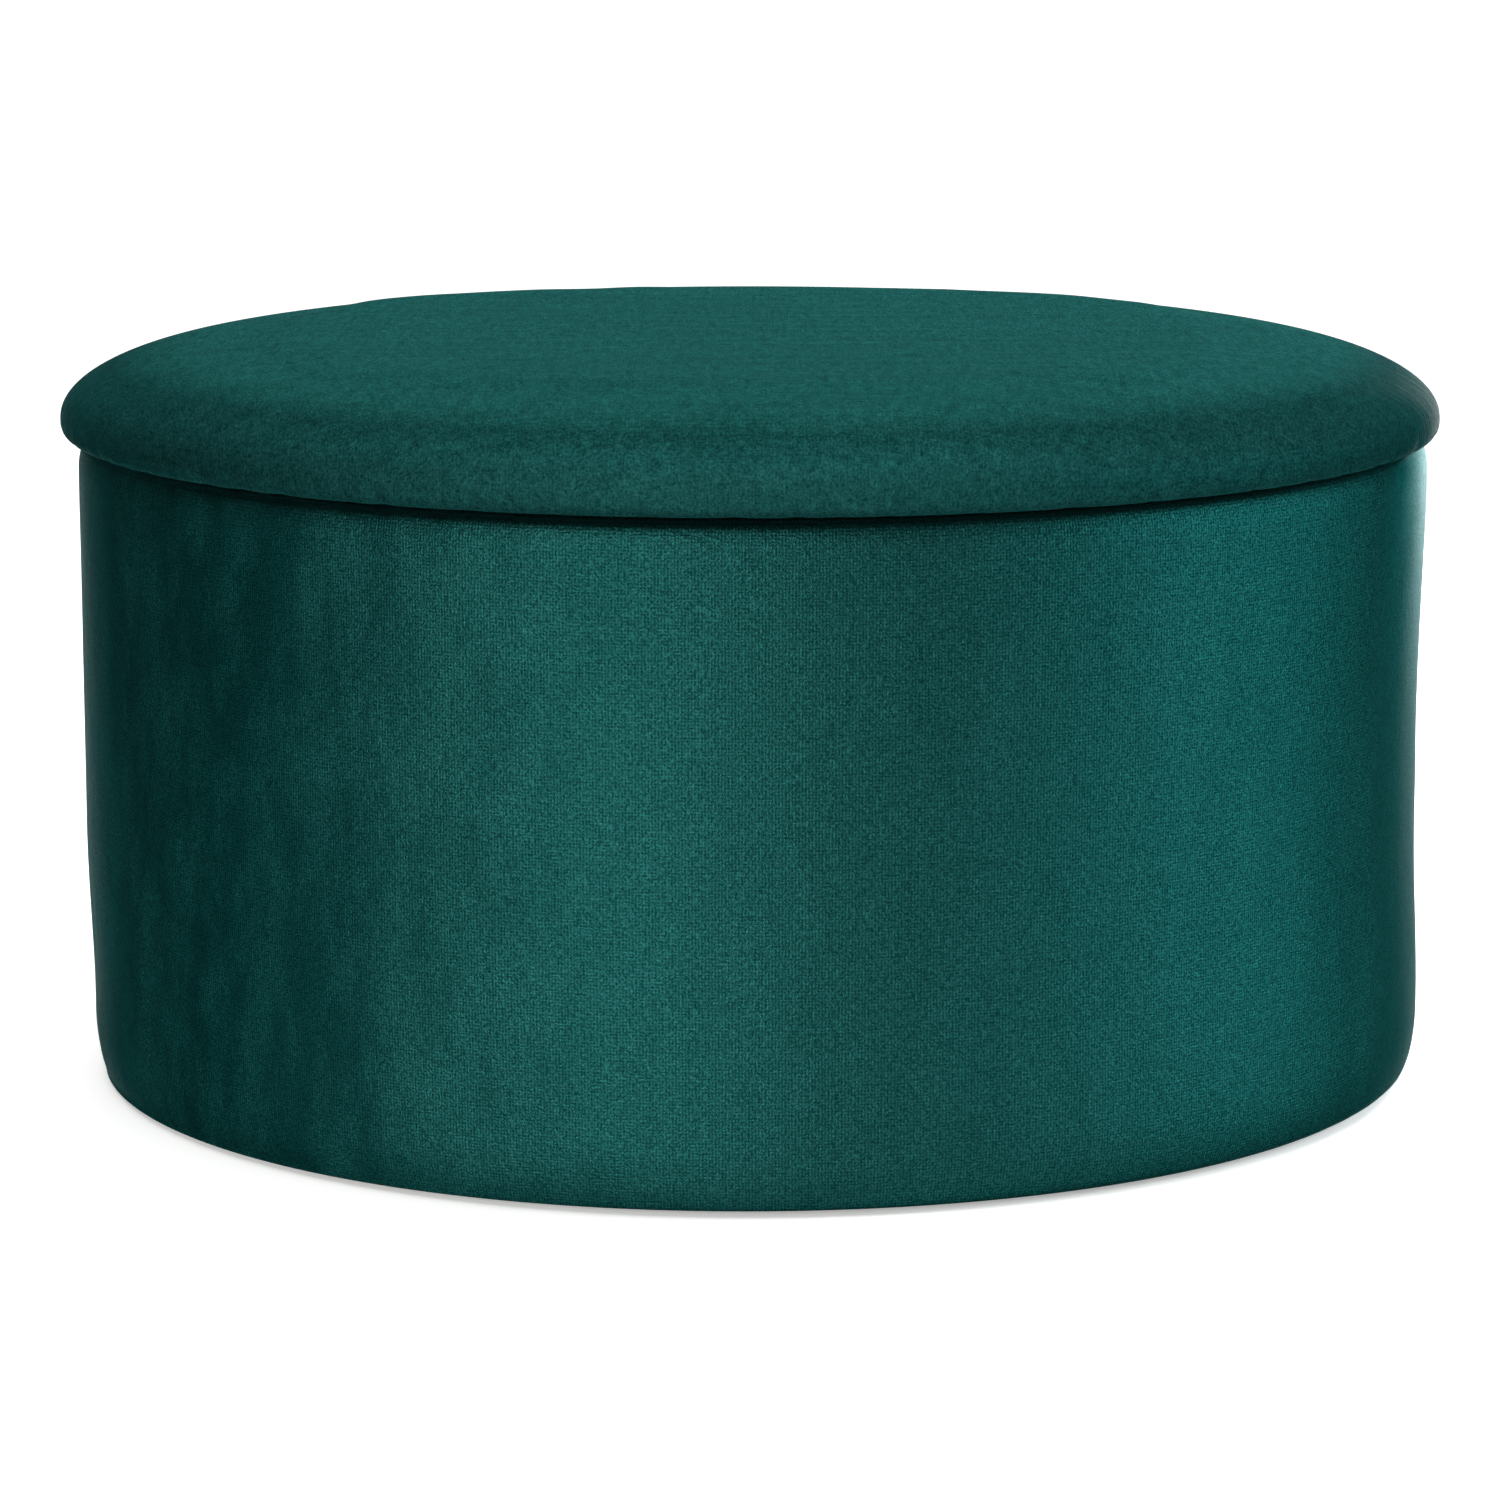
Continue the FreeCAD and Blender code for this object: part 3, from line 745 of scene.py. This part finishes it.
def round_mesh(profile, side):
    """Squares in the middle of a round, then rings along the profile: no pole, and even cells."""
    start_r, start_z = profile[0]
    verts = []
    rim = []
    for i in range(side + 1):
        for j in range(side + 1):
            a, b = 2 * i / side - 1, 2 * j / side - 1      # a square's points, taken to a round's
            if abs(a) > abs(b):
                r, turn = a, math.pi / 4 * b / a
            elif b:
                r, turn = b, math.pi / 2 - math.pi / 4 * a / b
            else:
                r, turn = 0.0, 0.0
            verts.append((start_r * r * math.cos(turn), start_r * r * math.sin(turn), start_z))
            if i in (0, side) or j in (0, side):
                rim.append(len(verts) - 1)
    faces = []
    for i in range(side):
        for j in range(side):
            k = i * (side + 1) + j
            faces.append((k, k + side + 1, k + side + 2, k + 1))
    rim.sort(key=lambda v: math.atan2(verts[v][1], verts[v][0]) % (2 * math.pi))
    turns = [math.atan2(verts[v][1], verts[v][0]) for v in rim]
    for r, z in profile[1:]:
        ring = []
        for turn in turns:
            ring.append(len(verts))
            verts.append((r * math.cos(turn), r * math.sin(turn), z))
        for k in range(len(rim)):
            n = (k + 1) % len(rim)
            faces.append((rim[k], ring[k], ring[n], rim[n]))
        rim = ring
    return verts, faces


def evened(values, mesh):
    """Each vertex's value averaged with its neighbours', so that no small buckles are left."""
    neighbours = [[] for _ in values]
    for edge in mesh.edges:
        a, b = edge.vertices
        neighbours[a].append(b)
        neighbours[b].append(a)
    for _ in range(EVENING):
        means = [sum((values[k] for k in near), Vector()) / len(near) for near in neighbours]
        values = [(own + mean) / 2 for own, mean in zip(values, means)]
    return values


def swell(obj, hold, cap):
    """Runs cloth under a little pressure, eases each point's outward travel to cap, and keeps the result.

    hold gives how firmly a point is held, from 0 to 1. The pad behind the cloth lets nothing sink in.
    """
    mesh = obj.data
    rest = [v.co.copy() for v in mesh.vertices]
    normals = [v.normal.copy() for v in mesh.vertices]
    group = obj.vertex_groups.new(name="held")
    for v in mesh.vertices:
        group.add([v.index], hold(v.co), "REPLACE")
    cloth = obj.modifiers.new("cloth", "CLOTH")
    cloth.settings.vertex_group_mass = "held"
    cloth.settings.quality = 6
    cloth.settings.mass = 0.3
    cloth.settings.tension_stiffness = 14
    cloth.settings.compression_stiffness = 14
    cloth.settings.shear_stiffness = 4
    cloth.settings.bending_stiffness = 3.0
    cloth.settings.use_pressure = True
    cloth.settings.uniform_pressure_force = 4.0
    cloth.settings.effector_weights.gravity = 0.0
    cloth.collision_settings.use_collision = False
    cloth.collision_settings.use_self_collision = False
    scene = bpy.context.scene
    scene.frame_start, scene.frame_end = 1, SIM_FRAMES
    cloth.point_cache.frame_start, cloth.point_cache.frame_end = 1, SIM_FRAMES
    for step in range(1, SIM_FRAMES + 1):
        scene.frame_set(step)
        bpy.context.view_layer.update()
    shaped = obj.evaluated_get(bpy.context.evaluated_depsgraph_get())
    moved = [v.co.copy() for v in shaped.data.vertices]
    obj.modifiers.remove(cloth)
    travels = evened([b - a for a, b in zip(rest, moved)], mesh)
    for v, a, travel, n in zip(mesh.vertices, rest, travels, normals):
        out = travel.dot(n)
        slide = travel - n * out
        slide_share = min(1.0, SLIDE / max(slide.length, 1e-9))
        v.co = a + n * cap * math.tanh(max(0.0, out) / cap) + slide * slide_share
    mesh.update()
    scene.frame_set(1)


def make_lid_padding():
    """The lid's velvet, swollen over its pad, and the wadding that lies close under it."""
    inset = PAD_INSET
    profile = lid_outline(inset)
    verts, faces = round_mesh(profile, LID_SIDE)
    cloth = piece("lid_velvet", verts, faces, LID_VELVET, "lid")
    swell(cloth, lambda p: 1 - smooth(p.z, LID_BOARD_TOP_Z, LID_BOARD_TOP_Z + HELD_UP_TO), PILLOW)
    make_lid_wadding(cloth.data, profile)
    finer = cloth.modifiers.new("finer", "SUBSURF")
    finer.levels = finer.render_levels = 1
    apply_modifiers(cloth)
    gather(cloth.data)
    wall = cloth.modifiers.new("wall", "SOLIDIFY")
    wall.thickness = LID_VELVET_THICK
    wall.offset = -1.0
    apply_modifiers(cloth)
    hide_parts("lid_cover")


def make_lid_wadding(velvet_mesh, profile):
    """A layer from 1.7 mm behind the velvet's face to the foam's face, down to the board."""
    kept = [q for q in profile if q[1] > LID_BOARD_Z + 3 * MM]
    _, faces = round_mesh(kept, LID_SIDE)
    count = 1 + max(max(face) for face in faces)
    outer = [v.co - v.normal * 1.7 * MM for v in velvet_mesh.vertices[:count]]
    foam_r = high("lid_foam").x + FOAM_GAP
    below = lid_outline(LID_TOP_Z - high("lid_foam").z - FOAM_GAP)[:len(kept)]
    drawn_in = [(min(foam_r, q[0] * foam_r / LID_R), q[1]) for q in below]
    inner, _ = round_mesh(drawn_in, LID_SIDE)
    rim = range(count - 4 * LID_SIDE, count)
    walls = [(a, b, b + count, a + count) for a, b in zip(rim, list(rim[1:]) + [rim[0]])]
    backs = [tuple(i + count for i in reversed(face)) for face in faces]
    layer = piece("lid_wadding_layer", outer + inner, faces + backs + walls, WADDING, "lid")
    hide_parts("lid_wadding")


def make_disc_cloth():
    """Nonwoven over the disc's face and edge, pleated behind it; it shows when the lid is off."""
    z = DISC_Z
    back_z = high("disc_cover").z
    corner = (1.6 * MM, 1.6 * MM)
    pleats = 60
    outside = [(0.5 * MM, z)] + line((0.02, z), (DISC_R - 2 * MM, z), 40)
    outside += quarter((DISC_R - corner[0], z + corner[1]), corner, -90, 5)
    outside += line((DISC_R, z + 2.5 * MM), (DISC_R, back_z - 1.8 * MM), 6)
    outside += quarter((DISC_R - corner[0], back_z - corner[1]), corner, 0, 5)
    outside += line((DISC_R - 3 * MM, back_z), (DISC_HEM_R, back_z), 8)
    inside = shrunk(outside, NONWOVEN)

    def shape(angle, r, height):
        x, y = r * math.cos(angle), r * math.sin(angle)
        loose = noise.noise(Vector((x * 11, y * 11, 9.0)))
        if height < z + 1.2 * MM:
            tight = smooth(r, DISC_R - 0.05, DISC_R - 0.01)
            radial = 0.14 * MM * math.cos(angle * pleats) * tight
            height -= 0.25 * MM * max(0.0, loose) * smooth(r, 0.0, 0.05) * (1 - tight) + radial
        return r, height

    cloth = turned("disc_cloth", outside + inside[::-1], turn_angles(LINING_TURN), LINING_CLOTH, "lid", shape)
    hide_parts("disc_cover")


GATHER_IN = 1.1 * MM           # how far a gather goes in at the lid's lower edge,
GATHER_UP = 0.6 * MM           # how far up it lifts the edge,
HEM_UP = 0.1 * MM              # and the hem under the board


def gather(mesh):
    """Small gathers where the round is drawn over the lower edge, and radial pleats in the hem below.

    A gather is an angle, a strength and half a width, the angles in radians.
    """
    random.seed(11)
    tucks = []
    turn = 0.0
    while turn < 2 * math.pi - 0.03:
        turn += random.uniform(0.055, 0.16)
        tucks.append((turn, random.uniform(0.35, 1.0), random.uniform(0.008, 0.020)))
    for v in mesh.vertices:
        near_foot = 1 - smooth(v.co.z, LID_SEAT_Z + 2 * MM, LID_SEAT_Z + 15 * MM)
        if near_foot <= 0:
            continue
        angle = math.atan2(v.co.y, v.co.x) % (2 * math.pi)
        r = math.hypot(v.co.x, v.co.y)
        depth = 0.0
        for turn, strength, width in tucks:
            off = (angle - turn + math.pi) % (2 * math.pi) - math.pi
            if abs(off) < 3 * width:
                depth += strength * math.exp(-(off / width) ** 2)
        edge = smooth(r, LID_R - 16 * MM, LID_R - 4 * MM)
        inward = GATHER_IN * depth * near_foot * edge
        up = (GATHER_UP * edge + HEM_UP * (1 - edge)) * depth * near_foot
        scale = (r - inward) / r
        v.co.x *= scale
        v.co.y *= scale
        v.co.z += up
    mesh.update()


def apply_modifiers(obj):
    """Puts the modifiers' result in the object's mesh."""
    shaped = obj.evaluated_get(bpy.context.evaluated_depsgraph_get())
    mesh = bpy.data.meshes.new_from_object(shaped)
    obj.modifiers.clear()
    old, obj.data = obj.data, mesh
    bpy.data.meshes.remove(old)


# ---- carried-over CAD nodes ----

def dress(nodes, material):
    """Gives CAD nodes a material; nothing else about them changes."""
    for name in nodes:
        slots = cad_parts[name].data.materials
        slots.clear()
        slots.append(material)


def dress_hard_parts():
    """The frame's own boards, timber, fixings and glides, and the lid's foam, are shown as they are."""
    names = list(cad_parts)
    uprights = [n for n in names if n.startswith("upright_")]
    segments = [n for n in names if n.startswith("ring_segment_")]
    glides = [n for n in names if n.startswith("glide_") and n != "glide_nails"]
    dress(["base_board", "lid_board", "locating_disc"] + segments, plywood("birch_plywood"))
    dress(uprights, upright_wood("pine", (0.45, 0.27, 0.12), (0.70, 0.50, 0.29)))
    dress(["outer_panel", "inner_panel", "floor_board"], hardboard("brown_hardboard"))
    dress(glides, moulded_plastic("black_glide"))
    dress(["base_screws", "ring_screws", "disc_screws"],
          metal("yellow_zinc", (0.50, 0.38, 0.16), (0.78, 0.66, 0.36), 0.34))
    wire = ["glide_nails", "outer_panel_pins", "inner_panel_pins", "hem_staples", "dust_cover_staples",
            "disc_staples", "lid_staples"]
    dress(wire, metal("galvanised_wire", (0.42, 0.43, 0.44), (0.68, 0.69, 0.70), 0.3))
    dress(["lid_foam"], FOAM)


# ---- stage ----

CAMERA_BACK = 3.244
CAMERA_UP = 0.7695
CAMERA_DOWN = math.radians(10.26)
CAMERA_LENS = 133.98           # mm, on a sensor 36 mm wide
LOW_AIM = 0.15                 # height that the lights in front and beside are aimed at,
TOP_AIM = 0.4                  # and the one behind
SUN_POWER = 2.3
SUN_SPREAD = math.radians(70)
FILL = 0.2                     # brightness of the surroundings as the object sees them; the camera sees white
WHITE = (1, 1, 1)
WARM_WHITE = (1.0, 0.98, 0.93)
COOL_WHITE = (0.90, 0.98, 1.0)
FAINT_COOL = (0.95, 0.99, 1.0)


def make_camera():
    """At the photograph's viewing angle."""
    data = bpy.data.cameras.new("camera")
    data.lens = CAMERA_LENS
    data.sensor_width = 36
    data.clip_end = 50                        # past the far edge of the floor
    camera = bpy.data.objects.new("camera", data)
    camera.location = (0, -CAMERA_BACK, CAMERA_UP)
    camera.rotation_euler = (math.pi / 2 - CAMERA_DOWN, 0, 0)
    bpy.context.scene.collection.objects.link(camera)
    bpy.context.scene.camera = camera


def softbox(name, azimuth, height, distance, size, power, colour, aim):
    """A rectangular light, aimed at a height over the origin; azimuth 0 is the camera's side, + its right."""
    data = bpy.data.lights.new(name, "AREA")
    data.shape = "RECTANGLE"
    data.size, data.size_y = size
    data.energy = power
    data.color = colour
    light = bpy.data.objects.new(name, data)
    a = math.radians(azimuth)
    light.location = (distance * math.sin(a), -distance * math.cos(a), height)
    light.rotation_euler = (Vector((0, 0, aim)) - light.location).to_track_quat("-Z", "Y").to_euler()
    bpy.context.scene.collection.objects.link(light)


def make_floor():
    """A wide white floor, which belongs to the stage and not to the object."""
    bpy.ops.mesh.primitive_plane_add(size=40, location=(0, 0, 0))
    floor = bpy.context.object
    floor.name = "floor"
    floor.data.materials.append(studio_floor("studio_floor"))


def make_lights():
    """The upright softboxes are mirrored in the velvet as its light bands, at half their azimuth."""
    softbox("front_light", -20, 0.62, 3.0, (0.9, 1.2), 72, WARM_WHITE, LOW_AIM)
    softbox("right_light", 80, 0.6, 2.0, (0.8, 1.15), 36, COOL_WHITE, LOW_AIM)
    softbox("right_rim_light", 145, 0.6, 2.2, (1.0, 1.2), 76, FAINT_COOL, LOW_AIM)
    softbox("back_light", 180, 2.0, 2.6, (2.4, 1.0), 20, WHITE, TOP_AIM)
    sun = bpy.data.lights.new("overhead_light", "SUN")
    sun.energy = SUN_POWER
    sun.angle = SUN_SPREAD
    overhead = bpy.data.objects.new("overhead_light", sun)
    bpy.context.scene.collection.objects.link(overhead)


def make_surroundings():
    """White where the camera looks past the object, and dimmer for the light that falls on it."""
    world = bpy.data.worlds.new("studio")
    world.use_nodes = True
    tree = world.node_tree
    seen = tree.nodes["Background"]
    seen.inputs["Color"].default_value = (*WHITE, 1)
    seen.inputs["Strength"].default_value = 1.0
    fill = tree.nodes.new("ShaderNodeBackground")
    fill.inputs["Color"].default_value = (*WHITE, 1)
    fill.inputs["Strength"].default_value = FILL
    choose = tree.nodes.new("ShaderNodeMixShader")
    path = tree.nodes.new("ShaderNodeLightPath")
    tree.links.new(path.outputs["Is Camera Ray"], choose.inputs[0])
    tree.links.new(fill.outputs[0], choose.inputs[1])
    tree.links.new(seen.outputs[0], choose.inputs[2])
    tree.links.new(choose.outputs[0], tree.nodes["World Output"].inputs["Surface"])
    bpy.context.scene.world = world
    bpy.context.scene.view_settings.view_transform = "Standard"


dress_hard_parts()
make_drum_velvet()
make_wall_padding()
make_rim_padding()
make_wall_lining()
make_floor_lining()
make_dust_cloth()
make_lid_padding()
make_disc_cloth()
make_camera()
make_floor()
make_lights()
make_surroundings()
